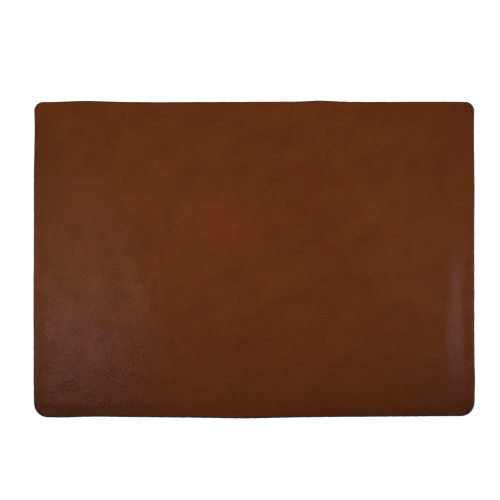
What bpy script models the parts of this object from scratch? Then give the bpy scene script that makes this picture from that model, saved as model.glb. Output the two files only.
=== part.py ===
"""A leather desk mat: one rounded rectangle, laminated from thin layers and sealed round its cut edge.

From the desk up it is a black suede backing, a film of adhesive, a stiffener board, a second film of adhesive and
a full-grain leather face. A bead of edge coat seals the cut edge of the leather, the films and the board. The
backing carries on a little past the front of the other layers.

Units are metres. +X runs to the right, +Y to the back, +Z up. The origin is on the desk, under the middle of the mat.
"""

import math

import bmesh
import bpy

# Overall size and corners.
MAT_LENGTH = 0.700
MAT_DEPTH = 0.500
BACK_CORNER_RADIUS = 0.015
FRONT_CORNER_RADIUS = 0.022
CORNER_STEPS = 14

# Layers, from the desk up.
SUEDE_THICKNESS = 0.0008
ADHESIVE_THICKNESS = 0.0001
BOARD_THICKNESS = 0.0010
LEATHER_THICKNESS = 0.0020
LAYER_GAP = 0.000025

# The backing's strip that shows past the front edge.
FRONT_STRIP = 0.0015

# Edge finish: a coat over the cut edge, and the softened upper arris of the leather.
COAT_THICKNESS = 0.0004
COAT_GAP = 0.0003
COAT_ROUNDING = 0.00015
COAT_ROUNDING_STEPS = 2
COAT_TOP_BELOW_LEATHER_TOP = 0.0009
LEATHER_ARRIS_RADIUS = 0.0008
LEATHER_ARRIS_STEPS = 4
FILM_INSET = 0.0010

WELD_DISTANCE = 1e-6

# Heights of the underside of each layer above the desk.
SUEDE_LOW = 0.0
BASE_FILM_LOW = SUEDE_LOW + SUEDE_THICKNESS + LAYER_GAP
BOARD_LOW = BASE_FILM_LOW + ADHESIVE_THICKNESS + LAYER_GAP
FACE_FILM_LOW = BOARD_LOW + BOARD_THICKNESS + LAYER_GAP
LEATHER_LOW = FACE_FILM_LOW + ADHESIVE_THICKNESS + LAYER_GAP
MAT_TOP = LEATHER_LOW + LEATHER_THICKNESS

# The coat's outer face is what reaches the mat's full length, and the layers inside it are cut back by this much.
CUT_INSET = COAT_THICKNESS + COAT_GAP

LEATHER_COLOUR = (0.165, 0.044, 0.013)
COAT_COLOUR = (0.045, 0.016, 0.008)
BOARD_COLOUR = (0.23, 0.14, 0.08)
ADHESIVE_COLOUR = (0.55, 0.47, 0.30)
SUEDE_COLOUR = (0.018, 0.018, 0.019)


def clear_scene():
    """Removes every object that the file opened with."""
    for obj in list(bpy.data.objects):
        bpy.data.objects.remove(obj, do_unlink=True)


def new_collection(name):
    """A collection of this name under the scene."""
    collection = bpy.data.collections.new(name)
    bpy.context.scene.collection.children.link(collection)
    return collection


def new_material(name, colour, roughness):
    """A plain non-metal finish."""
    material = bpy.data.materials.new(name)
    material.use_nodes = True
    shader = material.node_tree.nodes["Principled BSDF"]
    shader.inputs["Base Color"].default_value = (*colour, 1.0)
    shader.inputs["Roughness"].default_value = roughness
    shader.inputs["Metallic"].default_value = 0.0
    return material


def corner_arc(centre_x, centre_y, radius, start_degrees):
    """Points along a quarter circle, turning anticlockwise from start_degrees."""
    points = []
    for step in range(CORNER_STEPS + 1):
        angle = math.radians(start_degrees + 90.0 * step / CORNER_STEPS)
        points.append((centre_x + radius * math.cos(angle), centre_y + radius * math.sin(angle)))
    return points


def mat_outline(inset, front_strip=0.0):
    """The mat's plan, anticlockwise, drawn in by inset from its full size.

    The layers over the backing stop FRONT_STRIP short of the mat's front, and the backing passes front_strip
    to reach it.
    """
    right = MAT_LENGTH / 2 - inset
    back = MAT_DEPTH / 2 - inset
    front = -MAT_DEPTH / 2 + FRONT_STRIP - front_strip + inset
    back_radius = BACK_CORNER_RADIUS - inset
    front_radius = FRONT_CORNER_RADIUS - inset
    return (
        corner_arc(right - back_radius, back - back_radius, back_radius, 0.0)
        + corner_arc(-right + back_radius, back - back_radius, back_radius, 90.0)
        + corner_arc(-right + front_radius, front + front_radius, front_radius, 180.0)
        + corner_arc(right - front_radius, front + front_radius, front_radius, 270.0)
    )


def outline_curve(name, outline, height, fill):
    """A flat closed curve drawn out to height, as a filled plate or, without the fill, as an open band."""
    curve = bpy.data.curves.new(name, "CURVE")
    curve.dimensions = "2D"
    curve.fill_mode = "BOTH" if fill else "NONE"
    curve.extrude = height / 2
    spline = curve.splines.new("POLY")
    spline.points.add(len(outline) - 1)
    for point, (x, y) in zip(spline.points, outline):
        point.co = (x, y, 0.0, 1.0)
    spline.use_cyclic_u = True
    return curve


def mesh_from_curve(name, curve):
    """The curve's surface as one welded mesh, with each flat face whole."""
    guide = bpy.data.objects.new(name + "_curve", curve)
    bpy.context.scene.collection.objects.link(guide)
    bpy.context.view_layer.update()
    graph = bpy.context.evaluated_depsgraph_get()
    mesh = bpy.data.meshes.new_from_object(guide.evaluated_get(graph))
    bpy.data.objects.remove(guide, do_unlink=True)
    mesh.name = name
    shape = bmesh.new()
    shape.from_mesh(mesh)
    bmesh.ops.remove_doubles(shape, verts=shape.verts, dist=WELD_DISTANCE)
    bmesh.ops.dissolve_limit(shape, angle_limit=math.radians(0.5), verts=shape.verts, edges=shape.edges)
    shape.to_mesh(mesh)
    shape.free()
    return mesh


def place(name, mesh, material, collection, low, height):
    """Adds a mesh that is centred on its own height, with its underside at low."""
    mesh.materials.clear()
    mesh.materials.append(material)
    obj = bpy.data.objects.new(name, mesh)
    obj.location.z = low + height / 2
    collection.objects.link(obj)
    return obj


def flat_layer(name, outline, low, thickness, material, collection):
    """A sheet of even thickness with square edges."""
    mesh = mesh_from_curve(name, outline_curve(name, outline, thickness, fill=True))
    return place(name, mesh, material, collection, low, thickness)


def mark_for_bevel(mesh, chosen):
    """Gives a full bevel weight to each edge that chosen(edge) picks."""
    shape = bmesh.new()
    shape.from_mesh(mesh)
    weight = shape.edges.layers.float.new("bevel_weight_edge")
    for edge in shape.edges:
        edge[weight] = 1.0 if chosen(edge) else 0.0
    shape.to_mesh(mesh)
    shape.free()


def add_weighted_bevel(obj, width, steps):
    """Rounds the marked edges."""
    bevel = obj.modifiers.new("rounding", "BEVEL")
    bevel.limit_method = "WEIGHT"
    bevel.offset_type = "OFFSET"
    bevel.width = width
    bevel.segments = steps
    bevel.use_clamp_overlap = False
    return bevel


def shade_round(obj):
    """Smooth shading that keeps the square edges sharp."""
    obj.data.shade_smooth()
    obj.data.set_sharp_from_angle(angle=math.radians(40.0))


def leather_face(material, collection):
    """The full-grain face: its upper arris is rounded over, and its underside is left square for the bond."""
    obj = flat_layer(
        "leather_face", mat_outline(CUT_INSET), LEATHER_LOW, LEATHER_THICKNESS, material, collection
    )

    def on_upper_rim(edge):
        level = all(vert.co.z > 0.0 for vert in edge.verts)
        return level and len(edge.link_faces) == 2

    mark_for_bevel(obj.data, on_upper_rim)
    add_weighted_bevel(obj, LEATHER_ARRIS_RADIUS, LEATHER_ARRIS_STEPS)
    shade_round(obj)
    return obj


def edge_coat(material, collection):
    """The sealing coat: a thin band round the cut edge, from the board's underside to below the leather's arris."""
    height = MAT_TOP - COAT_TOP_BELOW_LEATHER_TOP - BOARD_LOW
    band = mesh_from_curve(
        "edge_coat", outline_curve("edge_coat", mat_outline(0.0), height, fill=False)
    )
    obj = place("edge_coat", band, material, collection, BOARD_LOW, height)
    wall = obj.modifiers.new("wall", "SOLIDIFY")
    wall.thickness = COAT_THICKNESS
    wall.offset = -1.0
    wall.use_even_offset = True
    rounding = obj.modifiers.new("rounding", "BEVEL")
    rounding.limit_method = "ANGLE"
    rounding.angle_limit = math.radians(45.0)
    rounding.width = COAT_ROUNDING
    rounding.segments = COAT_ROUNDING_STEPS
    shade_round(obj)
    return obj


def build():
    clear_scene()
    collection = new_collection("desk_mat")
    leather = new_material("full_grain_leather", LEATHER_COLOUR, 0.45)
    coat = new_material("edge_coat", COAT_COLOUR, 0.35)
    board = new_material("stiffener_board", BOARD_COLOUR, 0.85)
    adhesive = new_material("contact_adhesive", ADHESIVE_COLOUR, 0.5)
    suede = new_material("black_suede", SUEDE_COLOUR, 0.95)

    flat_layer(
        "suede_backing", mat_outline(0.0, FRONT_STRIP), SUEDE_LOW, SUEDE_THICKNESS, suede, collection
    )
    flat_layer(
        "base_adhesive",
        mat_outline(CUT_INSET + FILM_INSET),
        BASE_FILM_LOW,
        ADHESIVE_THICKNESS,
        adhesive,
        collection,
    )
    flat_layer(
        "stiffener_board", mat_outline(CUT_INSET), BOARD_LOW, BOARD_THICKNESS, board, collection
    )
    flat_layer(
        "face_adhesive",
        mat_outline(CUT_INSET + FILM_INSET),
        FACE_FILM_LOW,
        ADHESIVE_THICKNESS,
        adhesive,
        collection,
    )
    leather_face(leather, collection)
    edge_coat(coat, collection)


build()
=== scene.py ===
# %% [markdown]
# # A leather desk mat
# This is a lesson in making a thin, soft, hand-finished thing in Blender with numpy. A desk mat is a
# laminate: black suede underneath, a stiffener board in the middle, a full-grain leather face on top, a
# film of adhesive on each side of the board, and a dark coat that seals the cut edge. It is only 4 mm
# thick and 700 mm long, so its looks come from small things: the way the leather falls away at its
# border, a soft fold and a crease, the grain, the uneven dye and the unsteady line that a knife leaves.
# The engineering model gives the layers as flat plates. They are loaded first.

# %% Load the frame
import math

import bpy
import numpy as np
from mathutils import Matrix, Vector


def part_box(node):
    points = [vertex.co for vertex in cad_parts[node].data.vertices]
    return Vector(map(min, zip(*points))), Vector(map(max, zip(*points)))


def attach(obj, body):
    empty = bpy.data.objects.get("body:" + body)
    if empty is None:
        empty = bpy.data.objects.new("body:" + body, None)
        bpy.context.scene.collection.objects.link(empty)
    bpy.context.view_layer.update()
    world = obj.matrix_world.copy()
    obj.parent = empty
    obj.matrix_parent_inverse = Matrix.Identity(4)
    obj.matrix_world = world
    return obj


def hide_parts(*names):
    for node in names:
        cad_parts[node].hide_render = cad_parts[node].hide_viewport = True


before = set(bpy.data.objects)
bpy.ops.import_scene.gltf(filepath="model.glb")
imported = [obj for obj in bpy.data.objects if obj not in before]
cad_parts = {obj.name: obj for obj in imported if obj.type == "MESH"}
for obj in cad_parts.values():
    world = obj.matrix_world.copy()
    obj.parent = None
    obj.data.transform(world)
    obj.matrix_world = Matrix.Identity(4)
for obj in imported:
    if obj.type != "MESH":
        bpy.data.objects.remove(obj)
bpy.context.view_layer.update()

MM = 0.001

# %% [markdown]
# ## What the frame says
# Every size comes from the engineering model, so that nothing has to be fitted afterwards. A layer's box
# gives its plan and its height in the stack. The corner radii are the mat's own: the pair at the back is
# tighter than the pair at the front.

# %% Layer boxes
BACK_CORNER = 15 * MM
FRONT_CORNER = 22 * MM
LAYERS = ("suede_backing", "base_adhesive", "stiffener_board", "face_adhesive", "leather_face", "edge_coat")

boxes = {name: np.array(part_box(name), float) for name in LAYERS}
mat_right = boxes["edge_coat"][1, 0]
mat_back = boxes["edge_coat"][1, 1]
mat_front = boxes["edge_coat"][0, 1]

# %% [markdown]
# ## The cut line
# The mat is cut by hand, so its outline isn't a perfect rectangle: it swells and dips by one or two
# millimetres. A drawn outline with that many points would be hard to read. Instead every layer is first
# worked out as a true rounded rectangle, and one function then moves the border out or in. It is a sum of
# soft bumps along each side, and it fades to nothing on the way in. All layers go through it, so they
# stay in register.

# %% The hand-cut waver
# Along each side: where the bump is, how far out it goes, and its half width, in millimetres.
BACK_WAVER = (
    (-268, 1.5, 34), (-220, 0.4, 110), (-150, -0.5, 40), (60, 0.75, 150), (106, 1.7, 24), (240, 0.3, 60),
    (310, 0.45, 60),
)
FRONT_WAVER = (
    (-258, -0.5, 30), (-95, 1.3, 130), (-14, 1.5, 62), (60, 0.7, 120), (300, -1.3, 75),
)
LEFT_WAVER = ((205, -1.5, 48), (-60, 0.4, 60), (-232, -0.5, 25))
RIGHT_WAVER = ((205, -0.5, 50), (110, 0.4, 35), (-193, 0.9, 32))
WAVER_REACH = 70 * MM


def bumps(along, waver):
    """A sum of bell curves: height times e to minus the square of the distance over the half width."""
    total = np.zeros_like(along)
    for place, height, half_width in waver:
        total += height * MM * np.exp(-(((along / MM) - place) / half_width) ** 2)
    return total


def ease(share):
    """A soft step from 0 to 1, flat at both ends: 3 s squared less 2 s cubed, with s held between 0 and 1."""
    s = np.clip(share, 0, 1)
    return s * s * (3 - 2 * s)


def ramp(value, start, width):
    """A soft step that begins at start and is whole a width further on. A negative width runs back."""
    return ease((value - start) / width)


def hand_cut(x, y):
    """The plan moved by the waver of the nearest sides: in full at a side, and not at all WAVER_REACH in."""
    to_left, to_right = x + mat_right, mat_right - x
    to_front, to_back = y - mat_front, mat_back - y
    out_x = bumps(y, RIGHT_WAVER) * ease(1 - to_right / WAVER_REACH)
    out_x -= bumps(y, LEFT_WAVER) * ease(1 - to_left / WAVER_REACH)
    out_y = bumps(x, BACK_WAVER) * ease(1 - to_back / WAVER_REACH)
    out_y -= bumps(x, FRONT_WAVER) * ease(1 - to_front / WAVER_REACH)
    return x + out_x, y + out_y


along_back = np.linspace(-mat_right, mat_right, 701)
print("the back edge wavers by", round(float(np.ptp(bumps(along_back, BACK_WAVER))) / MM, 2), "mm")

# %% [markdown]
# ## How the mat lies
# Leather holds a memory of the roll that it came in, so a mat never lies quite flat: a corner or an edge
# stands a millimetre or so off the desk, and a soft fold leans across its left half. A cloth simulation
# would find such a shape, but a laminate this stiff hardly moves, and a formula gives the same small
# lifts at once. Each lift is a bell curve over the plan. The fold is a tent over a line, with its ridge
# rounded off. A long shallow wave runs under them all. The same height is added to every layer, so the
# stack bends as one sheet and never passes through itself or the desk.

# %% The lie of the sheet
# Centre across, centre along, height, half width across, half width along, in millimetres.
LIFTS = (
    (-345, -240, 0.6, 95, 70),
    (350, -30, 0.8, 60, 120),
    (-270, 250, 0.9, 85, 45),
    (110, 250, 0.8, 60, 40),
    (330, 250, 0.5, 60, 70),
)
LONG_WAVE = 0.16 * MM
LONG_WAVE_LENGTH = 420 * MM
LONG_WAVE_SKEW = 0.35
FOLD_HEIGHT = 1.4 * MM
FOLD_REACH = 95 * MM
FOLD_ROUNDING = 18 * MM
# The fold's line, in metres: where it crosses the middle, how it leans, and how it curves further back.
FOLD_MIDDLE = -0.176
FOLD_LEAN = -0.26
FOLD_BEND = 1.1
FOLD_BEND_FROM = 0.02
# The ramps, as start and width, that fade it out at the front and at the back.
FOLD_FRONT = (-0.235, 0.09)
FOLD_BACK = (0.25, -0.16)


def fold_line(y):
    """Where the fold crosses at each place from front to back: it leans in from the back left corner."""
    return FOLD_MIDDLE + FOLD_LEAN * y - FOLD_BEND * np.maximum(y - FOLD_BEND_FROM, 0) ** 2


def fold(x, y):
    """A soft tent: its height times e to minus the rounded distance from the fold's line over its reach."""
    away = np.hypot(x - fold_line(y), FOLD_ROUNDING) - FOLD_ROUNDING
    fade = ramp(y, *FOLD_FRONT) * ramp(y, *FOLD_BACK)
    return FOLD_HEIGHT * fade * np.exp(-away / FOLD_REACH)


def long_wave(x, y):
    """A sine wave that runs askew across the mat, lifted so that it never dips below the desk."""
    return LONG_WAVE * (1 + np.sin(2 * np.pi * (x + LONG_WAVE_SKEW * y) / LONG_WAVE_LENGTH))


def lie(x, y):
    """Height of the underside over the desk: the long wave, the lifts and the fold."""
    height = long_wave(x, y)
    for across, along, lift, half_across, half_along in LIFTS:
        far = ((x / MM - across) / half_across) ** 2 + ((y / MM - along) / half_along) ** 2
        height = height + lift * MM * np.exp(-far)
    return height + fold(x, y)


def as_laid(x, y, z):
    """Flat-cut positions to where they lie on the desk, as one array of points."""
    laid_x, laid_y = hand_cut(x, y)
    return np.stack([laid_x, laid_y, z + lie(x, y)], axis=-1)


survey_across = np.linspace(-mat_right, mat_right, 141)
survey_along = np.linspace(mat_front, mat_back, 101)
survey_x, survey_y = np.meshgrid(survey_across, survey_along)
lifted = lie(survey_x, survey_y) / MM
print("the sheet stands", round(lifted.min(), 3), "to", round(lifted.max(), 2), "mm off the desk")

# %% [markdown]
# ## A grid that fills a rounded rectangle
# A sheet could be a filled outline, but a filled face can't bend. It needs a grid of small quads. Here
# each row runs from the left edge to the right edge, and near a corner the rows get shorter as the arc
# asks. The rows are spaced by equal turns of the arc there, so that the corner comes out round.

# %% Rows and columns
def row_heights(front, back, front_radius, back_radius, cells, arc_cells):
    """For each row: its place from front to back, its setback from the half width, and which way it faces.

    In a corner the row's place is the radius times one less the cosine of the turn, and its setback is the
    radius times one less the sine. Between the corners the rows are even and the setback is nothing.
    """
    turn = np.linspace(0, np.pi / 2, arc_cells + 1)
    front_y = front + front_radius * (1 - np.cos(turn))
    front_setback = front_radius * (1 - np.sin(turn))
    back_y = (back - back_radius * (1 - np.cos(turn)))[::-1]
    back_setback = (back_radius * (1 - np.sin(turn)))[::-1]
    middle = np.linspace(front_y[-1], back_y[0], cells - 2 * arc_cells + 1)[1:-1]
    y = np.concatenate([front_y, middle, back_y])
    setback = np.concatenate([front_setback, np.zeros(len(middle)), back_setback])
    facing = np.concatenate([turn - np.pi / 2, np.zeros(len(middle)), (np.pi / 2 - turn)[::-1]])
    return y, setback, facing


def layer_rows(box, inset, rows, arc_rows):
    """The rows over a layer that is drawn in by inset, with its corners' radii drawn in as well."""
    from_edge = inset + (mat_right - box[1, 0])
    front, back = box[0, 1] + inset, box[1, 1] - inset
    return row_heights(front, back, FRONT_CORNER - from_edge, BACK_CORNER - from_edge, rows, arc_rows)


def plan_grid(box, inset, cells, arc_cells):
    """The plan positions of a grid over a layer, drawn in by inset: two arrays of rows by columns."""
    y, setback, _ = layer_rows(box, inset, cells[1], arc_cells)
    half = box[1, 0] - inset - setback
    x = np.linspace(-1, 1, cells[0] + 1)[None, :] * half[:, None]
    return x, np.repeat(y[:, None], cells[0] + 1, axis=1)


def loop_of(grid):
    """The border of a grid as one closed ring: the front, the right, the back and the left, anticlockwise."""
    return np.concatenate([grid[0, :-1], grid[:-1, -1], grid[-1, :0:-1], grid[:0:-1, 0]])


def facing_of(box, inset, cells, arc_cells):
    """The outward direction in plan at each point of the border ring."""
    _, _, angle = layer_rows(box, inset, cells[1], arc_cells)
    flat = np.full(cells[0], -np.pi / 2)
    around = np.concatenate([flat, angle[:-1], -flat, np.pi - angle[:0:-1]])
    return np.cos(around), np.sin(around)


sample_x, _ = plan_grid(boxes["leather_face"], 0.0, (8, 24), 6)
row_lengths = np.round(2 * sample_x[:, -1] / MM, 1)
print("the leather's rows are", row_lengths[0], "mm long at the front and", row_lengths.max(), "mm at most")

# %% [markdown]
# ## A closed sheet
# A layer is a fine grid on top, a coarser one underneath, and a rim between them. The rim is a profile
# carried along the border: it decides whether the edge looks rolled, square or furry. The underside has
# half as many rows and columns because nobody sees it, and a strip of triangles joins its ring to the
# rim's, three for each coarse step.

# %% Faces and meshes
def grid_quads(first, rows, columns, upwards):
    """The quads of a grid whose points are numbered row by row from first."""
    corner = first + np.arange(rows)[:, None] * (columns + 1) + np.arange(columns)[None, :]
    quads = np.stack([corner, corner + 1, corner + columns + 2, corner + columns + 1], axis=-1).reshape(-1, 4)
    return quads if upwards else quads[:, ::-1]


def ring_quads(upper, lower):
    """The quads between two rings of point numbers, facing outwards when the rings run anticlockwise."""
    return np.stack([lower, np.roll(lower, -1), np.roll(upper, -1), upper], axis=-1)


def strip_triangles(fine, coarse):
    """Joins a ring to one inside and under it that has half as many points."""
    a, b, c = fine[0::2], fine[1::2], np.roll(fine[0::2], -1)
    inner, after = coarse, np.roll(coarse, -1)
    return np.concatenate(
        [np.stack([b, a, inner], -1), np.stack([after, b, inner], -1), np.stack([c, b, after], -1)]
    )


# %% New piece
def new_piece(name, points, quads, triangles=(), values=None):
    """A smooth-shaded mesh object at the origin, with each named value stored on its points."""
    mesh = bpy.data.meshes.new(name)
    faces = [tuple(face) for face in np.asarray(quads).tolist()]
    faces += [tuple(face) for face in np.asarray(triangles).tolist()]
    mesh.from_pydata(points.reshape(-1, 3).tolist(), [], faces)
    mesh.shade_smooth()
    for key, numbers in (values or {}).items():
        layer = mesh.attributes.new(key, "FLOAT", "POINT")
        layer.data.foreach_set("value", np.asarray(numbers, np.float32))
    mesh.validate()
    obj = bpy.data.objects.new(name, mesh)
    bpy.context.scene.collection.objects.link(obj)
    triangle_count = sum(len(p.vertices) - 2 for p in mesh.polygons)
    print(f"{name}: {len(mesh.vertices)} points, {triangle_count} triangles")
    return obj


# %% Reach from the border
def border_reach(x, y):
    """How far in from the nearest side of the mat a point lies, with the corners rounded.

    It is the distance to a rounded rectangle: outside the corner's centre it is the radius less the distance
    to that centre, and elsewhere it is the distance to the nearest side.
    """
    radius = np.where(y > 0, BACK_CORNER, FRONT_CORNER)
    over_x = np.abs(x) - (mat_right - radius)
    over_y = np.where(y > 0, y - (mat_back - radius), (mat_front + radius) - y)
    corner = np.hypot(np.maximum(over_x, 0), np.maximum(over_y, 0))
    return radius - corner - np.minimum(np.maximum(over_x, over_y), 0)


print("the origin lies", round(float(border_reach(0.0, 0.0)) / MM, 1), "mm in from the nearest side")


# %% Sheet builder
def sheet_piece(name, box, top, bottom, profile, cells, arc_cells, under_inset, waver=None, values=None):
    """A closed sheet over a layer's plan.

    top and bottom give heights from the plan. profile is a list of (inset, share): how far in from the cut
    edge a point of the rim is, and how far down from top to bottom. waver, if given, adds to the rim's inset
    round the edge. values are functions of the plan, each kept on the points under its name.
    """
    first_inset = profile[0][0]
    x, y = plan_grid(box, first_inset, cells, arc_cells)
    parts = [np.stack([x, y, top(x, y)], -1).reshape(-1, 3)]
    fine = loop_of(np.arange(x.size).reshape(x.shape))
    rim_x, rim_y = loop_of(x), loop_of(y)
    out_x, out_y = facing_of(box, first_inset, cells, arc_cells)
    quads = [grid_quads(0, cells[1], cells[0], True)]
    ring, count = fine, x.size
    for inset, share in profile[1:]:
        shift = first_inset - inset - (waver(rim_x, rim_y, share) if waver else 0)
        high, low = top(rim_x, rim_y), bottom(rim_x, rim_y)
        height = high + (low - high) * share
        parts.append(np.stack([rim_x + out_x * shift, rim_y + out_y * shift, height], -1))
        after = count + np.arange(len(fine))
        quads.append(ring_quads(ring, after))
        ring, count = after, count + len(fine)
    under_cells = (cells[0] // 2, cells[1] // 2)
    under_x, under_y = plan_grid(box, under_inset, under_cells, arc_cells // 2)
    parts.append(np.stack([under_x, under_y, bottom(under_x, under_y)], -1).reshape(-1, 3))
    quads.append(grid_quads(count, under_cells[1], under_cells[0], False))
    coarse = loop_of(count + np.arange(under_x.size).reshape(under_x.shape))
    flat = np.concatenate(parts)
    reach = np.maximum(border_reach(flat[:, 0], flat[:, 1]), 0)
    laid = as_laid(flat[:, 0], flat[:, 1], flat[:, 2])
    stored = {"reach_mm": reach / MM}
    stored.update({key: value(flat[:, 0], flat[:, 1]) for key, value in (values or {}).items()})
    return new_piece(name, laid, np.concatenate(quads), strip_triangles(ring, coarse), stored)


# %% [markdown]
# ## The relief of the leather
# The face isn't a flat plate either. A leather worker skives the border, so it falls away towards the
# edge over the last 14 to 26 mm. At the right the fall lies further in, from 43 to 13 mm, and the very
# edge curls up again. A slope like that catches a side light in a long soft streak. One shallow crease
# runs from back to front at the left, where the hide was folded, with a low swelling beside it, and the
# hide itself is softly uneven. Each of these is a height added to the top of the sheet. Bump in a
# material could fake the light on them, but not the silhouette, so they are shape.

# %% Relief of the border
# Fall, then the distances in from the edge where the fall ends and begins, in millimetres.
SKIVE_RIGHT = (1.35, 13, 43)
SKIVE_LEFT = (0.85, 0, 24)
SKIVE_FRONT = (0.75, 0, 26)
SKIVE_BACK = (0.25, 0, 14)
LIP_RISE = 0.35 * MM
LIP_WIDTH = 16 * MM
# The fall at the right bows inwards here, by so much, over this half width.
BOW_CENTRE = -100 * MM
BOW = 5 * MM
BOW_HALF_WIDTH = 60 * MM
# And it wanders: how far, then the seed, number, shortest and longest of its waves.
WANDER_WAVES = (1.2 * MM, 31, 12, 0.03, 0.09)
# It is steep between two ramps, given as start and width in metres, and has this share of its fall elsewhere.
STEEP_FRONT = (-0.215, 0.07)
STEEP_BACK = (0.050, -0.09)
STEEP_LEAST = 0.25


def plane_waves(x, y, seed, count, shortest, longest):
    """A cloudy height from -1 to 1 or so: a sum of sine waves in random directions, lengths and phases."""
    draw = np.random.default_rng(seed)
    heading = draw.uniform(0, np.pi, count)
    length = shortest * (longest / shortest) ** draw.random(count)
    phase = draw.uniform(0, 2 * np.pi, count)
    total = np.zeros_like(x)
    for angle, size, start in zip(heading, length, phase):
        total += np.sin(2 * np.pi * (x * np.cos(angle) + y * np.sin(angle)) / size + start)
    return total / np.sqrt(count / 2)


def uneven(x, y, waves):
    """A sum of plane waves times their height."""
    return waves[0] * plane_waves(x, y, *waves[1:])


def skived(reach, cut):
    """How far the face has fallen at a distance in from the edge: all of it at first, easing to nothing."""
    fall, end, start = cut
    return -fall * MM * (1 - ease((reach / MM - end) / (start - end)))


def lip(reach):
    """How far a side's very edge curls up again: a soft rise over the last LIP_WIDTH."""
    return LIP_RISE * (1 - ease(reach / LIP_WIDTH))


def right_border(x, y):
    """The fall at the right, whose line bows and wanders and which is steep for a stretch, and the lip."""
    to_right = mat_right - x
    bowed = BOW * np.exp(-(((y - BOW_CENTRE) / BOW_HALF_WIDTH) ** 2))
    bowed = bowed + uneven(x, y, WANDER_WAVES)
    steep = STEEP_LEAST + (1 - STEEP_LEAST) * ramp(y, *STEEP_FRONT) * ramp(y, *STEEP_BACK)
    return steep * skived(to_right - bowed, SKIVE_RIGHT) + lip(to_right)


print("the right border falls by", round(-right_border(survey_x, survey_y).min() / MM, 2), "mm at most")

# %% Relief of the hide
CREASE_DEPTH = 0.10 * MM
CREASE_HALF_WIDTH = 5 * MM
# The crease's line is a parabola, in metres: its place across and along at its tip, and its bend.
CREASE_TIP = (-0.158, 0.025)
CREASE_BEND = 1.0
# Ramps, as start and width in metres: the crease's two ends, and where the hide rolls more.
CREASE_FRONT = (-0.125, 0.05)
CREASE_BACK = (0.195, -0.06)
ROLLING_LEFT = (-0.10, -0.08)
# The low swelling beside the crease: centre, half widths and height.
SWELLING = ((-0.186, 0.0), (0.018, 0.050), 0.26 * MM)
# The hide's unevenness: its height, then the seed, number, shortest and longest of its waves.
HIDE_WAVES = (0.040 * MM, 11, 26, 0.035, 0.14)
LEFT_HIDE_WAVES = (0.045 * MM, 12, 20, 0.030, 0.08)


def crease(x, y):
    """A shallow furrow along a parabola in plan, fading at both ends, with a bell-shaped section."""
    line = CREASE_TIP[0] + CREASE_BEND * (y - CREASE_TIP[1]) ** 2
    fade = ramp(y, *CREASE_FRONT) * ramp(y, *CREASE_BACK)
    return -CREASE_DEPTH * fade * np.exp(-(((x - line) / CREASE_HALF_WIDTH) ** 2))


def dome(x, y, centre, half, height):
    """A low rounded swelling: a bell curve with its own half width each way."""
    return height * np.exp(-(((x - centre[0]) / half[0]) ** 2) - ((y - centre[1]) / half[1]) ** 2)


def leather_relief(x, y):
    """All that the leather's top adds to its flat height."""
    relief = skived(x + mat_right, SKIVE_LEFT) + right_border(x, y)
    relief += skived(y - mat_front, SKIVE_FRONT) + skived(mat_back - y, SKIVE_BACK)
    relief += crease(x, y) + dome(x, y, *SWELLING)
    return relief + uneven(x, y, HIDE_WAVES) + ramp(x, *ROLLING_LEFT) * uneven(x, y, LEFT_HIDE_WAVES)


relief = leather_relief(survey_x, survey_y) / MM
print("the leather's relief runs from", round(relief.min(), 2), "to", round(relief.max(), 2), "mm")

# %% [markdown]
# ## What the leather knows about each point
# A hide isn't the same all over, so some numbers go onto the mesh for the material to read. `grain_open`
# says how open the grain is: tight in the middle of the hide, open at its flanks. A second number scales
# the colour: it is lighter where the grain is open, and in soft patches a few centimetres across it is
# lighter or darker, mostly where the dye took more lightly or more deeply, and in a few places as painted
# shade, along the front by the left corner and at the right edge, and as a painted highlight along the
# streak at the right. `dye_warmth` moves the hue from red to yellow. They could be noise in the material,
# but then nobody could say where a patch lies. `reach_mm`, each point's distance in from the edge, is
# stored by the sheet builder: the dye changes close to the edge.

# %% Leather values
# Ramps, as start and width in metres: the open grain at the left and at the right, and how far back it goes.
OPEN_LEFT = (-0.07, -0.14)
OPEN_LEFT_BACK = (0.09, -0.14)
OPEN_LEFT_LEAST = 0.35
OPEN_RIGHT = (0.27, 0.05)
OPEN_RIGHT_BACK = (0.07, -0.12)
OPEN_RIGHT_MOST = 0.80
# The border is burnished flat: the grain opens over this stretch in from the edge, in millimetres.
OPEN_FROM_EDGE = (5, 14)
OPEN_LEAST = 0.10

# Where the colour is lighter or darker: mostly where the dye took more lightly or more deeply, but three rows
# are painted shade and one is a painted highlight. Centre, half widths in millimetres, and the change.
DYE_AND_PAINTED_LIGHT_PATCHES = (
    (-75, 52, 85, 52, 0.15),
    (-338, 125, 42, 75, -0.17),
    (312, 108, 52, 62, -0.09),
    # A painted highlight, along the streak where the skived fall at the right catches the light.
    (318, -140, 34, 95, 0.14),
    # Painted shade along the front edge by the left corner: this row and the next.
    (-248, -244, 66, 15, -0.22),
    (-345, -235, 30, 30, -0.10),
    (24, 188, 58, 13, -0.05),
    (-10, -170, 180, 60, 0.03),
    (300, 238, 60, 34, 0.07),
    (-160, -110, 36, 60, 0.06),
    # Painted shade at the very edge at the right, beyond the streak.
    (346, 10, 16, 60, -0.08),
)
# How much lighter the colour is where the grain is open, making up for its darker creases.
OPEN_GRAIN_DYE = 0.20

# The hue: its middle value, the ramp to the yellower left, the red patch, and the waves that cloud it.
WARMTH = 0.52
WARM_LEFT = 0.40
WARM_LEFT_RAMP = (-0.10, -0.14)
RED_PATCH = ((0.085, 0.055), (0.120, 0.090), 0.50)
WARMTH_WAVES = (0.10, 21, 24, 0.03, 0.12)


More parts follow.
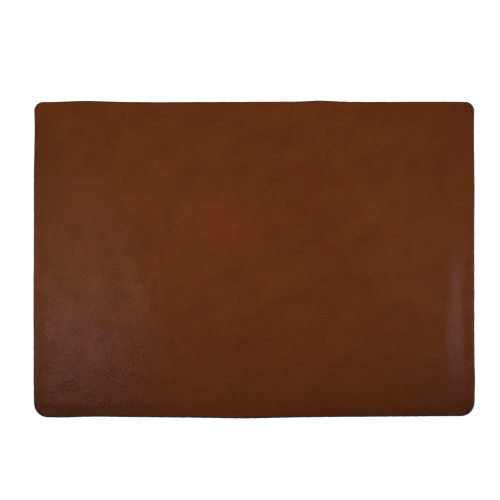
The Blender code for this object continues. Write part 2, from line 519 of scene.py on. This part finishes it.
def grain_open(x, y):
    """How open the grain is, from OPEN_LEAST to 1: the wider of the left and right flanks' ramps."""
    left = ramp(x, *OPEN_LEFT) * (OPEN_LEFT_LEAST + (1 - OPEN_LEFT_LEAST) * ramp(y, *OPEN_LEFT_BACK))
    right = OPEN_RIGHT_MOST * ramp(x, *OPEN_RIGHT) * ramp(y, *OPEN_RIGHT_BACK)
    away = ramp(border_reach(x, y) / MM, *OPEN_FROM_EDGE)
    return OPEN_LEAST + (1 - OPEN_LEAST) * away * np.maximum(left, right)


def dye_and_painted_light(x, y):
    """What the leather's colour is multiplied by: one, plus a share of the openness, plus the patches of dye,
    painted shade and painted highlight.
    """
    total = 1 + OPEN_GRAIN_DYE * grain_open(x, y)
    for across, along, half_across, half_along, change in DYE_AND_PAINTED_LIGHT_PATCHES:
        total += dome(x / MM, y / MM, (across, along), (half_across, half_along), change)
    return total


def dye_warmth(x, y):
    """The dye's hue from 0, red, to 1, yellow: redder in the middle and yellower at the left."""
    left = WARM_LEFT * ramp(x, *WARM_LEFT_RAMP)
    return np.clip(WARMTH + left - dome(x, y, *RED_PATCH) + uneven(x, y, WARMTH_WAVES), 0, 1)


dye_light_survey = dye_and_painted_light(survey_x, survey_y)
print("the dye's strength runs from", round(dye_light_survey.min(), 2), "to", round(dye_light_survey.max(), 2))

# %% [markdown]
# ## The leather face
# The top arris is rolled over by burnishing, so the rim's profile is a quarter round of about a
# millimetre and then a square wall down to the bond. A Bevel modifier could round it too, but a profile
# that is carried round the border keeps the rows of the grid in line with it.

# %% Leather mesh
ARRIS = 0.9 * MM
ARRIS_STEPS = 6
WALL_FOOT = 0.93
UNDER_STEPS = ((0.08 * MM, 1.0), (0.6 * MM, 1.0))
LEATHER_CELLS = (290, 206)
ARC_CELLS = 10
LEATHER_UNDER_INSET = 1.6 * MM

leather_box = boxes["leather_face"]
leather_low, leather_high = leather_box[0, 2], leather_box[1, 2]
thinned = leather_high - leather_low - SKIVE_LEFT[0] * MM


def leather_top(x, y):
    """The flat height plus the relief."""
    return leather_high + leather_relief(x, y)


def level(height):
    """A function that gives the same height everywhere."""
    return lambda x, y: np.full_like(x, height)


def rolled_profile(radius, thickness, steps):
    """A quarter round from the top to the cut face, then the face, then a little way under."""
    turn = np.linspace(0, np.pi / 2, steps + 1)
    points = [(radius * (1 - np.sin(a)), radius * (1 - np.cos(a)) / thickness) for a in turn]
    return points + [(0.0, WALL_FOOT), *UNDER_STEPS]


leather = sheet_piece(
    "leather_sheet",
    leather_box,
    leather_top,
    level(leather_low),
    rolled_profile(ARRIS, thinned, ARRIS_STEPS),
    LEATHER_CELLS,
    ARC_CELLS,
    LEATHER_UNDER_INSET,
    values={"grain_open": grain_open, "dye_and_painted_light": dye_and_painted_light, "dye_warmth": dye_warmth},
)

# %% [markdown]
# ## The suede backing
# Suede is cut with the same knife but it is soft, so its edge is blunter, and at the front it shows past
# the leather as a thin black line, widest by the left corner. The engineering model has that strip. The
# profile is a rounded, slightly furry edge: a small random swelling along the rim stands for the fibres
# that stick out of the cut.

# %% Suede mesh
suede_box = boxes["suede_backing"]
suede_high = suede_box[1, 2]
SUEDE_CELLS = (220, 156)
SUEDE_UNDER_INSET = 2.4 * MM
# Where the strip at the front is wider: place, height and half width in millimetres.
STRIP_WAVER = ((-305, 1.1, 40), (280, 0.6, 70))
STRIP_REACH = 30 * MM
# The fur: its height, then the seed, number, shortest and longest of its waves.
FUR_WAVES = (0.10 * MM, 5, 18, 0.004, 0.02)
SUEDE_PROFILE = (
    (0.55 * MM, 0.0), (0.30 * MM, 0.06), (0.12 * MM, 0.2), (0.05 * MM, 0.4), (0.05 * MM, 0.65),
    (0.14 * MM, 0.85), (0.35 * MM, 1.0), (0.8 * MM, 1.0),
)


def strip_waver(x, y, share):
    """Less inset where the front strip is wide, and a fine unevenness all round, most at half height."""
    front = ease(1 - (y - mat_front) / STRIP_REACH)
    fur = uneven(x, y, FUR_WAVES) * np.sin(np.pi * np.clip(share, 0, 1))
    return -(front * bumps(x, STRIP_WAVER) + fur)


suede = sheet_piece(
    "suede_sheet",
    suede_box,
    level(suede_high),
    level(0.0),
    SUEDE_PROFILE,
    SUEDE_CELLS,
    ARC_CELLS,
    SUEDE_UNDER_INSET,
    strip_waver,
)

# %% [markdown]
# ## The board and the two films of adhesive
# They are out of sight once the edge is sealed, but a mat with nothing inside would be a fake, and a cut
# or peeled edge would show them. They are the same closed sheet with a square rim and a coarser grid.

# %% Inner layers
INNER_CELLS = (200, 144)
INNER_ARC_CELLS = 8
INNER_UNDER_INSET = 1.5 * MM
INNER_PROFILE = ((0.4 * MM, 0.0), (0.12 * MM, 0.0), (0.12 * MM, 1.0), (0.4 * MM, 1.0))


def inner_layer(name, node):
    """A plain layer at its height in the stack, with a square edge."""
    box = boxes[node]
    low, high = level(box[0, 2]), level(box[1, 2])
    return sheet_piece(name, box, high, low, INNER_PROFILE, INNER_CELLS, INNER_ARC_CELLS, INNER_UNDER_INSET)


board = inner_layer("board_sheet", "stiffener_board")
base_film = inner_layer("base_film", "base_adhesive")
face_film = inner_layer("face_film", "face_adhesive")

# %% [markdown]
# ## The edge coat
# Edge coat is a thick paint laid along the cut with a roller in two or three passes, then burnished. It
# ends in a soft bead: thickest at half height, thin where it meets the leather above and the suede below,
# and never quite even. It is a profile carried once round the border, closed on itself both ways.

# %% Coat mesh
coat_box = boxes["edge_coat"]
coat_low, coat_high = coat_box[0, 2], coat_box[1, 2]
COAT_CELLS = (290, 206)
COAT_SECTION_POINTS = 16
COAT_INNER = (mat_right - leather_box[1, 0]) - 0.03 * MM
COAT_OUTER = 0.05 * MM
COAT_TOP_DROP = 0.35 * MM
# The powers that make the half ellipse of the section fuller: outwards, and up and down.
BULGE_POWER = 0.6
HEIGHT_POWER = 0.7
# The bead's unevenness, as a share of its thickness, and that of its top line.
BEAD_WAVES = (0.10, 3, 16, 0.006, 0.05)
TOP_WAVES = (0.08 * MM, 8, 12, 0.01, 0.08)


def coat_ring():
    """The bead: at each section angle, a point between the cut face and the outer skin, all round the border.

    Its section is a flattened half ellipse. The inset is the inner inset less the bead's thickness times a
    power of the cosine of the angle, held at or above nothing, and the height follows a power of the sine.
    """
    x, y = plan_grid(coat_box, 0.0, COAT_CELLS, ARC_CELLS)
    rim_x, rim_y = loop_of(x), loop_of(y)
    out_x, out_y = facing_of(coat_box, 0.0, COAT_CELLS, ARC_CELLS)
    thickness = (COAT_INNER - COAT_OUTER) * (1 + uneven(rim_x, rim_y, BEAD_WAVES))
    top_line = coat_high - COAT_TOP_DROP + uneven(rim_x, rim_y, TOP_WAVES)
    rings = []
    for angle in np.linspace(-np.pi, np.pi, COAT_SECTION_POINTS, endpoint=False):
        bulge = np.maximum(np.cos(angle), 0) ** BULGE_POWER
        inset = COAT_INNER - bulge * thickness
        share = 0.5 + 0.5 * np.sign(np.sin(angle)) * np.abs(np.sin(angle)) ** HEIGHT_POWER
        height = coat_low + (top_line - coat_low) * share
        rings.append(np.stack([rim_x - out_x * inset, rim_y - out_y * inset, height], -1))
    return np.stack(rings)


coat_flat = coat_ring()
per_ring = coat_flat.shape[1]
numbers = np.arange(COAT_SECTION_POINTS * per_ring).reshape(COAT_SECTION_POINTS, per_ring)
coat_quads = np.concatenate(
    [ring_quads(numbers[(k + 1) % COAT_SECTION_POINTS], numbers[k]) for k in range(COAT_SECTION_POINTS)]
)
coat = new_piece("edge_bead", as_laid(*(coat_flat[..., k] for k in range(3))), coat_quads)

# %% [markdown]
# ## Materials
# A finish is a small network of nodes, so a few helpers keep it readable: one makes a node and sets its
# inputs, one gives a cloudy pattern of a stated size, and one maps a range onto another. Patterns read
# Object coordinates, so their sizes are true millimetres and they stay put on the mat.

# %% Finish and node helpers
def new_finish(name, colour, roughness):
    """A material with one Principled shader, and its tree."""
    material = bpy.data.materials.new(name)
    material.use_nodes = True
    material.diffuse_color = (*colour, 1)
    shader = material.node_tree.nodes["Principled BSDF"]
    shader.inputs["Base Color"].default_value = (*colour, 1)
    shader.inputs["Roughness"].default_value = roughness
    return material, material.node_tree, shader


def add(tree, kind, inputs=None, **settings):
    """A node of a kind. inputs maps a socket's name or number to a value or to another node's output."""
    node = tree.nodes.new(kind)
    for key, value in settings.items():
        setattr(node, key, value)
    for key, value in (inputs or {}).items():
        if isinstance(value, bpy.types.NodeSocket):
            tree.links.new(value, node.inputs[key])
        else:
            node.inputs[key].default_value = value
    return node


def point_value(tree, name):
    """A value that is kept on the mesh's points."""
    return add(tree, "ShaderNodeAttribute", attribute_name=name).outputs["Fac"]


# %% Pattern helpers
def placed(tree, size, angle=0.0, offset=(0, 0, 0)):
    """Object coordinates turned about the vertical and divided by a pattern size in millimetres each way."""
    where = add(tree, "ShaderNodeTexCoord").outputs["Object"]
    scale = tuple(1 / (s * MM) for s in size)
    turned = add(tree, "ShaderNodeMapping", {"Vector": where, "Rotation": (0, 0, math.radians(-angle))})
    inputs = {"Vector": turned.outputs[0], "Scale": scale, "Location": offset}
    return add(tree, "ShaderNodeMapping", inputs).outputs[0]


def cloud(tree, size, detail=3.0, rough=0.55, angle=0.0, offset=(0, 0, 0), distortion=0.0):
    """Fractal noise whose features are about size millimetres across. It is near 0.5, give or take 0.25."""
    inputs = {"Vector": placed(tree, size, angle, offset), "Scale": 1.0}
    inputs.update({"Detail": detail, "Roughness": rough, "Distortion": distortion})
    return add(tree, "ShaderNodeTexNoise", inputs).outputs[0]


def ranged(tree, value, low, high, to_low, to_high, smooth=False):
    """A value from low to high, mapped onto to_low to to_high and held there."""
    inputs = {0: value, 1: low, 2: high, 3: to_low, 4: to_high}
    kind = "SMOOTHSTEP" if smooth else "LINEAR"
    return add(tree, "ShaderNodeMapRange", inputs, interpolation_type=kind).outputs[0]


def maths(tree, operation, a, b):
    """One arithmetic step."""
    return add(tree, "ShaderNodeMath", {0: a, 1: b}, operation=operation).outputs[0]


def mixed(tree, share, a, b, blend="MIX"):
    """Two colours mixed by a share. A colour is three numbers or another node's output."""
    node = add(tree, "ShaderNodeMix", data_type="RGBA", blend_type=blend)
    for socket, value in ((node.inputs[0], share), (node.inputs[6], a), (node.inputs[7], b)):
        if isinstance(value, bpy.types.NodeSocket):
            tree.links.new(value, socket)
        else:
            socket.default_value = value if isinstance(value, float) else (*value, 1)
    return node.outputs[2]


def bumped(tree, height, depth_mm, over=None):
    """A bump whose height input of 1 stands depth_mm proud, laid over another bump if one is given."""
    inputs = {"Height": height, "Distance": depth_mm * MM, "Strength": 1.0}
    if over is not None:
        inputs["Normal"] = over
    return add(tree, "ShaderNodeBump", inputs).outputs[0]


# %% [markdown]
# ## The leather's dye and painted light
# Aniline dye soaks into the hide unevenly, so the brown is three patterns on top of each other: long
# streaks along the lie of the fibres, clouds a few centimetres across, and freckles at the size of the
# pores. Their sum picks a brown between a deep one and a light one. The values stored on the points then
# warm it and lighten or darken it in patches, mostly dye and in a few places painted shade and a painted
# highlight, and close to the edge the burnisher has darkened it.

# %% Leather dye and painted light
LEATHER_MID = (0.121, 0.0240, 0.0035)
LEATHER_LIGHT = (0.137, 0.0290, 0.0045)
LEATHER_DARK = (0.098, 0.0185, 0.0028)
LEATHER_EDGE = (0.030, 0.0070, 0.0022)
# The colour of the grain's creases: partly dye gathered there, partly painted shade.
LEATHER_CREASE_DYE_AND_SHADE = (0.050, 0.0100, 0.0018)
TINT_RED = (1.03, 0.93, 0.88)
TINT_YELLOW = (0.99, 1.09, 1.0)
BURNISH_REACH = (0.3, 3.2)
BURNISH = 0.85

# The streaks, the clouds and the freckles, each with its share of the tone. Sizes are in millimetres.
STREAKS = {"size": (130, 60, 60), "rough": 0.5, "angle": 24, "distortion": 0.8}
CLOUDS = {
    "size": (30, 24, 30), "detail": 4.0, "rough": 0.6, "angle": 60, "offset": (3, 7, 0), "distortion": 0.5,
}
FRECKLES = {"size": (4.5, 3.5, 4), "rough": 0.6, "offset": (11, 2, 5)}
DYE_PATTERNS = ((STREAKS, 0.33), (CLOUDS, 0.35), (FRECKLES, 0.32))


def dyed(tree):
    """The mottled brown: the sum of the patterns, from 0 to 1, picks it between dark, middle and light."""
    tone = 0.0
    for pattern, share in DYE_PATTERNS:
        spread = ranged(tree, cloud(tree, **pattern), 0.3, 0.7, 0, 1)
        tone = maths(tree, "ADD", tone, maths(tree, "MULTIPLY", spread, share))
    lower = mixed(tree, ranged(tree, tone, 0.15, 0.5, 0, 1), LEATHER_DARK, LEATHER_MID)
    return mixed(tree, ranged(tree, tone, 0.5, 0.85, 0, 1), lower, LEATHER_LIGHT)


def with_warmth_dye_and_painted_light(tree, colour):
    """A colour tinted by the warmth, times the dye's strength with its painted shade and highlight, and
    burnished dark along the edge.
    """
    tint = mixed(tree, point_value(tree, "dye_warmth"), TINT_RED, TINT_YELLOW)
    colour = mixed(tree, 1.0, colour, tint, "MULTIPLY")
    # The scale holds the dye's patches, with painted shade and a painted highlight among them.
    inputs = {0: colour, "Scale": point_value(tree, "dye_and_painted_light")}
    colour = add(tree, "ShaderNodeVectorMath", inputs, operation="SCALE").outputs[0]
    burnish = ranged(tree, point_value(tree, "reach_mm"), *BURNISH_REACH, 1.0, 0.0, smooth=True)
    return mixed(tree, maths(tree, "MULTIPLY", burnish, BURNISH), colour, LEATHER_EDGE)


print("the shares of the dye's patterns add up to", round(sum(share for _, share in DYE_PATTERNS), 3))

# %% [markdown]
# ## The leather's grain
# Grain is a net of fine creases with rounded pebbles between them. Here there are two nets: a tight one,
# about two millimetres across and very shallow, all over the face, and a loose one, about five
# millimetres across and deeper, only where the grain is open. Finer pores lie between. It is far too fine
# for the mesh, so it is bump. The creases are darker in colour: partly dye that gathers in them, partly
# painted shade of the creases. Polish makes the tops of the grain smoother than its creases, and the open
# grain, which sees the most handling, is a little smoother still and glints.

# %% Leather grain
TIGHT_PEBBLE = (2.4, 2.1, 2.2)
TIGHT_CREASE = 0.30
# How far the tight net's creases are darkened: partly dye, partly painted shade.
TIGHT_DARKNESS = 0.05
TIGHT_DEPTH = 0.010
LOOSE_PEBBLE = (5.0, 4.4, 4.7)
LOOSE_CREASE = 0.50
# How far the loose net's creases are darkened: partly dye, partly painted shade.
LOOSE_DARKNESS = 0.48
LOOSE_DEPTH = 0.160
SWELL_DEPTH = 0.06
PORE_DEPTH = 0.006
CREASE_WANDER = 1.1
NET_ANGLE = 20


def pebbles(tree, size, crease_width):
    """A net of rounded pebbles: 0 along the creases between them and 1 on their tops.

    The cells are those of scattered points, with the lookup bent by noise so that no crease is straight.
    crease_width is the half width of a crease as a share of a cell.
    """
    noise = {"Vector": placed(tree, tuple(2 * side for side in size)), "Scale": 1.0, "Detail": 2.0}
    wander = {0: add(tree, "ShaderNodeTexNoise", noise).outputs[1], "Scale": CREASE_WANDER}
    shift = add(tree, "ShaderNodeVectorMath", wander, operation="SCALE").outputs[0]
    lookup = {0: placed(tree, size, NET_ANGLE), 1: shift}
    bent = add(tree, "ShaderNodeVectorMath", lookup, operation="ADD").outputs[0]
    cells = add(tree, "ShaderNodeTexVoronoi", {"Vector": bent, "Scale": 1.0}, feature="DISTANCE_TO_EDGE")
    return ranged(tree, cells.outputs["Distance"], 0.0, crease_width, 0, 1, smooth=True)


# %% Leather shading
def with_crease_dye_and_shade(tree, colour, tight, loose, openness):
    """A colour darkened in the creases of both nets, in the loose one only as far as the grain is open:
    partly dye that gathers there, partly painted shade.
    """
    crease_dye_and_shade = maths(tree, "MULTIPLY", ranged(tree, loose, 0, 1, LOOSE_DARKNESS, 0.0), openness)
    crease_dye_and_shade = maths(tree, "ADD", crease_dye_and_shade, ranged(tree, tight, 0, 1, TIGHT_DARKNESS, 0.0))
    return mixed(tree, crease_dye_and_shade, colour, LEATHER_CREASE_DYE_AND_SHADE)


def leather_gloss(tree, tight, openness):
    """The roughness: slow patches of polish, rougher in the creases and smoother where the grain is open."""
    polish = ranged(tree, cloud(tree, (55, 40, 50), offset=(1, 1, 8)), 0.3, 0.7, 0.235, 0.275)
    rough = maths(tree, "ADD", polish, ranged(tree, tight, 0, 1, 0.04, 0.0))
    return maths(tree, "SUBTRACT", rough, maths(tree, "MULTIPLY", openness, 0.06))


def leather_bump(tree, tight, loose, openness):
    """Four bumps over each other: a swell of a centimetre, the loose net, the tight net and the pores."""
    normal = bumped(tree, cloud(tree, (11, 9, 10), detail=2.0, offset=(2, 9, 1)), SWELL_DEPTH)
    normal = bumped(tree, maths(tree, "MULTIPLY", loose, openness), LOOSE_DEPTH, over=normal)
    normal = bumped(tree, tight, TIGHT_DEPTH, over=normal)
    return bumped(tree, cloud(tree, (0.8, 0.8, 0.8), detail=2.0), PORE_DEPTH, over=normal)


# %% Leather finish
GRAIN_PATCHES = {"size": (40, 34, 40), "detail": 2.0, "offset": (9, 4, 2)}


def leather_finish():
    """The brown full-grain face."""
    material, tree, shader = new_finish("full_grain_leather_finish", LEATHER_MID, 0.42)
    tight = pebbles(tree, TIGHT_PEBBLE, TIGHT_CREASE)
    loose = pebbles(tree, LOOSE_PEBBLE, LOOSE_CREASE)
    patchy = ranged(tree, cloud(tree, **GRAIN_PATCHES), 0.35, 0.65, 0.6, 1.2)
    openness = maths(tree, "MULTIPLY", patchy, point_value(tree, "grain_open"))
    colour = with_warmth_dye_and_painted_light(tree, with_crease_dye_and_shade(tree, dyed(tree), tight, loose, openness))
    tree.links.new(colour, shader.inputs["Base Color"])
    tree.links.new(leather_gloss(tree, tight, openness), shader.inputs["Roughness"])
    tree.links.new(leather_bump(tree, tight, loose, openness), shader.inputs["Normal"])
    shader.inputs["Specular IOR Level"].default_value = 0.30
    return material


leather_look = leather_finish()
leather.data.materials.append(leather_look)
print(leather_look.name, "has", len(leather_look.node_tree.nodes), "nodes")

# %% [markdown]
# ## The other finishes
# Suede is a nap of short fibres: it is dark seen from above and lighter at a glancing angle, which is
# what Sheen is for, and strokes of the hand leave lighter and darker patches in it. Edge coat is a smooth
# dark brown paint with a soft shine and faint ripples. Board is pressed fibre with flecks in it. Dried
# adhesive is an amber, slightly glossy skin.

# %% Other finishes
# For each finish, its mean colour and the darker and lighter ends of its pattern.
SUEDE_BLACK = (0.016, 0.016, 0.017)
SUEDE_ENDS = ((0.010, 0.010, 0.011), (0.026, 0.026, 0.027))
COAT_BROWN = (0.026, 0.0095, 0.0045)
COAT_ENDS = ((0.020, 0.0075, 0.004), (0.036, 0.013, 0.006))
BOARD_BROWN = (0.23, 0.14, 0.08)
BOARD_ENDS = ((0.16, 0.095, 0.055), (0.30, 0.19, 0.11))
FILM_AMBER = (0.55, 0.42, 0.22)
FILM_ENDS = ((0.42, 0.31, 0.15), (0.62, 0.50, 0.28))


def between_ends(tree, pattern, ends):
    """A colour that goes from one end to the other as the pattern goes from 0.35 to 0.65."""
    return mixed(tree, ranged(tree, pattern, 0.35, 0.65, 0, 1), *ends)


def suede_finish():
    """Black napped suede."""
    material, tree, shader = new_finish("black_suede_finish", SUEDE_BLACK, 0.95)
    strokes = cloud(tree, (60, 24, 30), detail=3.0, angle=-12, distortion=0.6)
    nap = cloud(tree, (0.9, 0.6, 0.8), detail=3.0, rough=0.7)
    tone = maths(tree, "ADD", maths(tree, "MULTIPLY", strokes, 0.6), maths(tree, "MULTIPLY", nap, 0.4))
    tree.links.new(between_ends(tree, tone, SUEDE_ENDS), shader.inputs["Base Color"])
    tree.links.new(bumped(tree, nap, 0.12), shader.inputs["Normal"])
    shader.inputs["Specular IOR Level"].default_value = 0.2
    shader.inputs["Sheen Weight"].default_value = 0.35
    shader.inputs["Sheen Roughness"].default_value = 0.5
    return material


def coat_finish():
    """Dark brown edge coat."""
    material, tree, shader = new_finish("edge_coat_finish", COAT_BROWN, 0.34)
    ripple = cloud(tree, (5, 5, 1.2), detail=3.0)
    tree.links.new(between_ends(tree, ripple, COAT_ENDS), shader.inputs["Base Color"])
    tree.links.new(ranged(tree, ripple, 0.3, 0.7, 0.28, 0.42), shader.inputs["Roughness"])
    tree.links.new(bumped(tree, ripple, 0.06), shader.inputs["Normal"])
    return material


def board_finish():
    """Raw pressed fibreboard."""
    material, tree, shader = new_finish("stiffener_board_finish", BOARD_BROWN, 0.88)
    fibre = cloud(tree, (6, 1.2, 0.3), detail=4.0, rough=0.7, angle=35)
    tree.links.new(between_ends(tree, fibre, BOARD_ENDS), shader.inputs["Base Color"])
    tree.links.new(bumped(tree, fibre, 0.05), shader.inputs["Normal"])
    return material


def film_finish():
    """Dried contact adhesive."""
    material, tree, shader = new_finish("contact_adhesive_finish", FILM_AMBER, 0.45)
    brushed = cloud(tree, (40, 3, 3), detail=3.0, angle=8)
    tree.links.new(between_ends(tree, brushed, FILM_ENDS), shader.inputs["Base Color"])
    tree.links.new(bumped(tree, brushed, 0.03), shader.inputs["Normal"])
    return material


film_look = film_finish()
dressed = (
    (suede, suede_finish()),
    (coat, coat_finish()),
    (board, board_finish()),
    (base_film, film_look),
    (face_film, film_look),
)
for piece, look in dressed:
    piece.data.materials.append(look)
    print(piece.name, "wears", look.name)

# %% [markdown]
# ## What each piece stands for
# Every piece here replaces one plate of the engineering model and rides on its only body. The leather,
# the suede, the board and the films are sheets laid flat.

# %% Frame calls
PIECES = (
    (suede, "suede_backing", "black_suede", ()),
    (base_film, "base_adhesive", "contact_adhesive", (suede,)),
    (board, "stiffener_board", "stiffener_board", (base_film,)),
    (face_film, "face_adhesive", "contact_adhesive", (board,)),
    (leather, "leather_face", "full_grain_leather", (face_film,)),
    (coat, "edge_coat", "edge_coat", ()),
)
for piece, node, slot, under in PIECES:
    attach(piece, "root")
    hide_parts(node)

# %% [markdown]
# ## Floor, light and camera
# The mat is seen from straight above on a white sweep. A sweep is lit until it is nearly white, so the
# floor also glows a little. Three soft spots make a pool of light on the middle of the mat, from the
# left, the right and the back, and their slant keeps their mirror image out of the camera. Three small
# boxes hang high, two at the left and one at the right, just where the face mirrors them into the camera:
# they light up the open grain at the left and the skived fall at the right. The room's walls are bright
# and its ceiling dim. The camera hangs straight above with a long lens, so the sides of the mat stay
# straight.

# %% Floor
FLOOR_HALF_SIZE = 12.0
FLOOR_DROP = 0.05 * MM
FLOOR_GLOW = 0.80


def make_floor():
    """A flat square of floor, just under the mat."""
    across = np.array([-1, 1, 1, -1]) * FLOOR_HALF_SIZE
    along = np.array([-1, -1, 1, 1]) * FLOOR_HALF_SIZE
    corners = np.stack([across, along, np.full(4, -FLOOR_DROP)], axis=-1)
    mesh = bpy.data.meshes.new("floor")
    mesh.from_pydata(corners.tolist(), [], [(0, 1, 2, 3)])
    floor = bpy.data.objects.new("floor", mesh)
    bpy.context.scene.collection.objects.link(floor)
    material, _, shader = new_finish("floor_white", (0.86, 0.86, 0.86), 0.9)
    shader.inputs["Specular IOR Level"].default_value = 0.1
    shader.inputs["Emission Color"].default_value = (1, 1, 1, 1)
    shader.inputs["Emission Strength"].default_value = FLOOR_GLOW
    mesh.materials.append(material)
    return floor


make_floor()
print("the floor is", 2 * FLOOR_HALF_SIZE, "m square")

# %% Lights
SPOT_DISTANCE = 1.8
SPOT_RADIUS = 0.15
# Name, tilt from straight up, bearing from +X, what it points at, half angle and intensity.
SPOTS = (
    ("left_spot", 60, 180, (-0.04, 0.08, 0.0), 15, 8.1),
    ("right_spot", 60, 0, (-0.04, 0.08, 0.0), 15, 8.2),
    ("back_spot", 50, 90, (-0.04, 0.12, 0.0), 20, 0.9),
)
# Name, place, what it points at, sides and radiance.
SOFTBOXES = (
    ("left_box", (-0.53, -0.22, 1.6), (-0.25, -0.08, 0.0), (0.18, 0.18), 5.2),
    ("left_upper_box", (-0.53, 0.04, 1.6), (-0.25, 0.0, 0.0), (0.16, 0.16), 1.5),
    ("right_box", (0.84, -0.18, 1.6), (0.3, -0.08, 0.0), (0.12, 0.16), 12.0),
)


def out_at(tilt, bearing, distance):
    """The place at a tilt from straight up and a bearing from +X, both in degrees."""
    t, b = math.radians(tilt), math.radians(bearing)
    out = distance * math.sin(t)
    return (out * math.cos(b), out * math.sin(b), distance * math.cos(t))


def hang(name, kind, place, aim):
    """A lamp of a kind at place, pointing at aim."""
    lamp = bpy.data.lights.new(name, kind)
    obj = bpy.data.objects.new(name, lamp)
    obj.location = place
    way = Vector(aim) - Vector(place)
    obj.rotation_mode = "QUATERNION"
    obj.rotation_quaternion = way.to_track_quat("-Z", "Y")
    obj.visible_camera = False
    bpy.context.scene.collection.objects.link(obj)
    return lamp


def softbox(name, place, aim, size, radiance):
    """A rectangular box whose face has this radiance: its power is pi times its area times the radiance."""
    lamp = hang(name, "AREA", place, aim)
    lamp.shape = "RECTANGLE"
    lamp.size, lamp.size_y = size
    lamp.energy = math.pi * size[0] * size[1] * radiance
    print(name, "gives", round(lamp.energy, 2), "W")


def spot(name, tilt, bearing, aim, half_angle, intensity):
    """A soft-edged spot of this intensity on its axis: its power is that of a lamp as strong all round."""
    lamp = hang(name, "SPOT", out_at(tilt, bearing, SPOT_DISTANCE), aim)
    lamp.spot_size = math.radians(2 * half_angle)
    lamp.spot_blend = 1.0
    lamp.shadow_soft_size = SPOT_RADIUS
    lamp.energy = 4 * math.pi * intensity
    print(name, "gives", round(lamp.energy, 1), "W")


for row in SPOTS:
    spot(*row)
for row in SOFTBOXES:
    softbox(*row)

# %% Surround
WORLD_OVERHEAD = 0.12
WORLD_HORIZON = 0.95
# The sine of the height at which the surround begins to dim, and at which it has dimmed.
WORLD_DIMS = (0.05, 0.45)


def studio_world(overhead, horizon):
    """A surround that is bright at the horizon and dim overhead, as in a room with only its walls lit."""
    world = bpy.data.worlds.new("studio")
    world.use_nodes = True
    tree = world.node_tree
    way = add(tree, "ShaderNodeTexCoord").outputs["Generated"]
    up = add(tree, "ShaderNodeSeparateXYZ", {0: way}).outputs["Z"]
    strength = ranged(tree, up, *WORLD_DIMS, horizon, overhead, smooth=True)
    tree.links.new(strength, tree.nodes["Background"].inputs["Strength"])
    tree.nodes["Background"].inputs["Color"].default_value = (1, 1, 1, 1)
    bpy.context.scene.world = world


studio_world(WORLD_OVERHEAD, WORLD_HORIZON)
print("the surround goes from", WORLD_HORIZON, "at the horizon to", WORLD_OVERHEAD, "overhead")

# %% Camera
CAMERA_LENS = 100.0
CAMERA_SENSOR = 36.0
PICTURE_WIDTH = 0.7943
CAMERA_PLACE = (-0.0064, 0.0150)

camera_data = bpy.data.cameras.new("camera")
camera_data.lens = CAMERA_LENS
camera_data.sensor_width = CAMERA_SENSOR
camera = bpy.data.objects.new("camera", camera_data)
camera.location = (*CAMERA_PLACE, PICTURE_WIDTH * CAMERA_LENS / CAMERA_SENSOR)
bpy.context.scene.collection.objects.link(camera)
bpy.context.scene.camera = camera
bpy.context.scene.view_settings.view_transform = "Standard"
print("camera height:", round(camera.location.z, 3), "m")
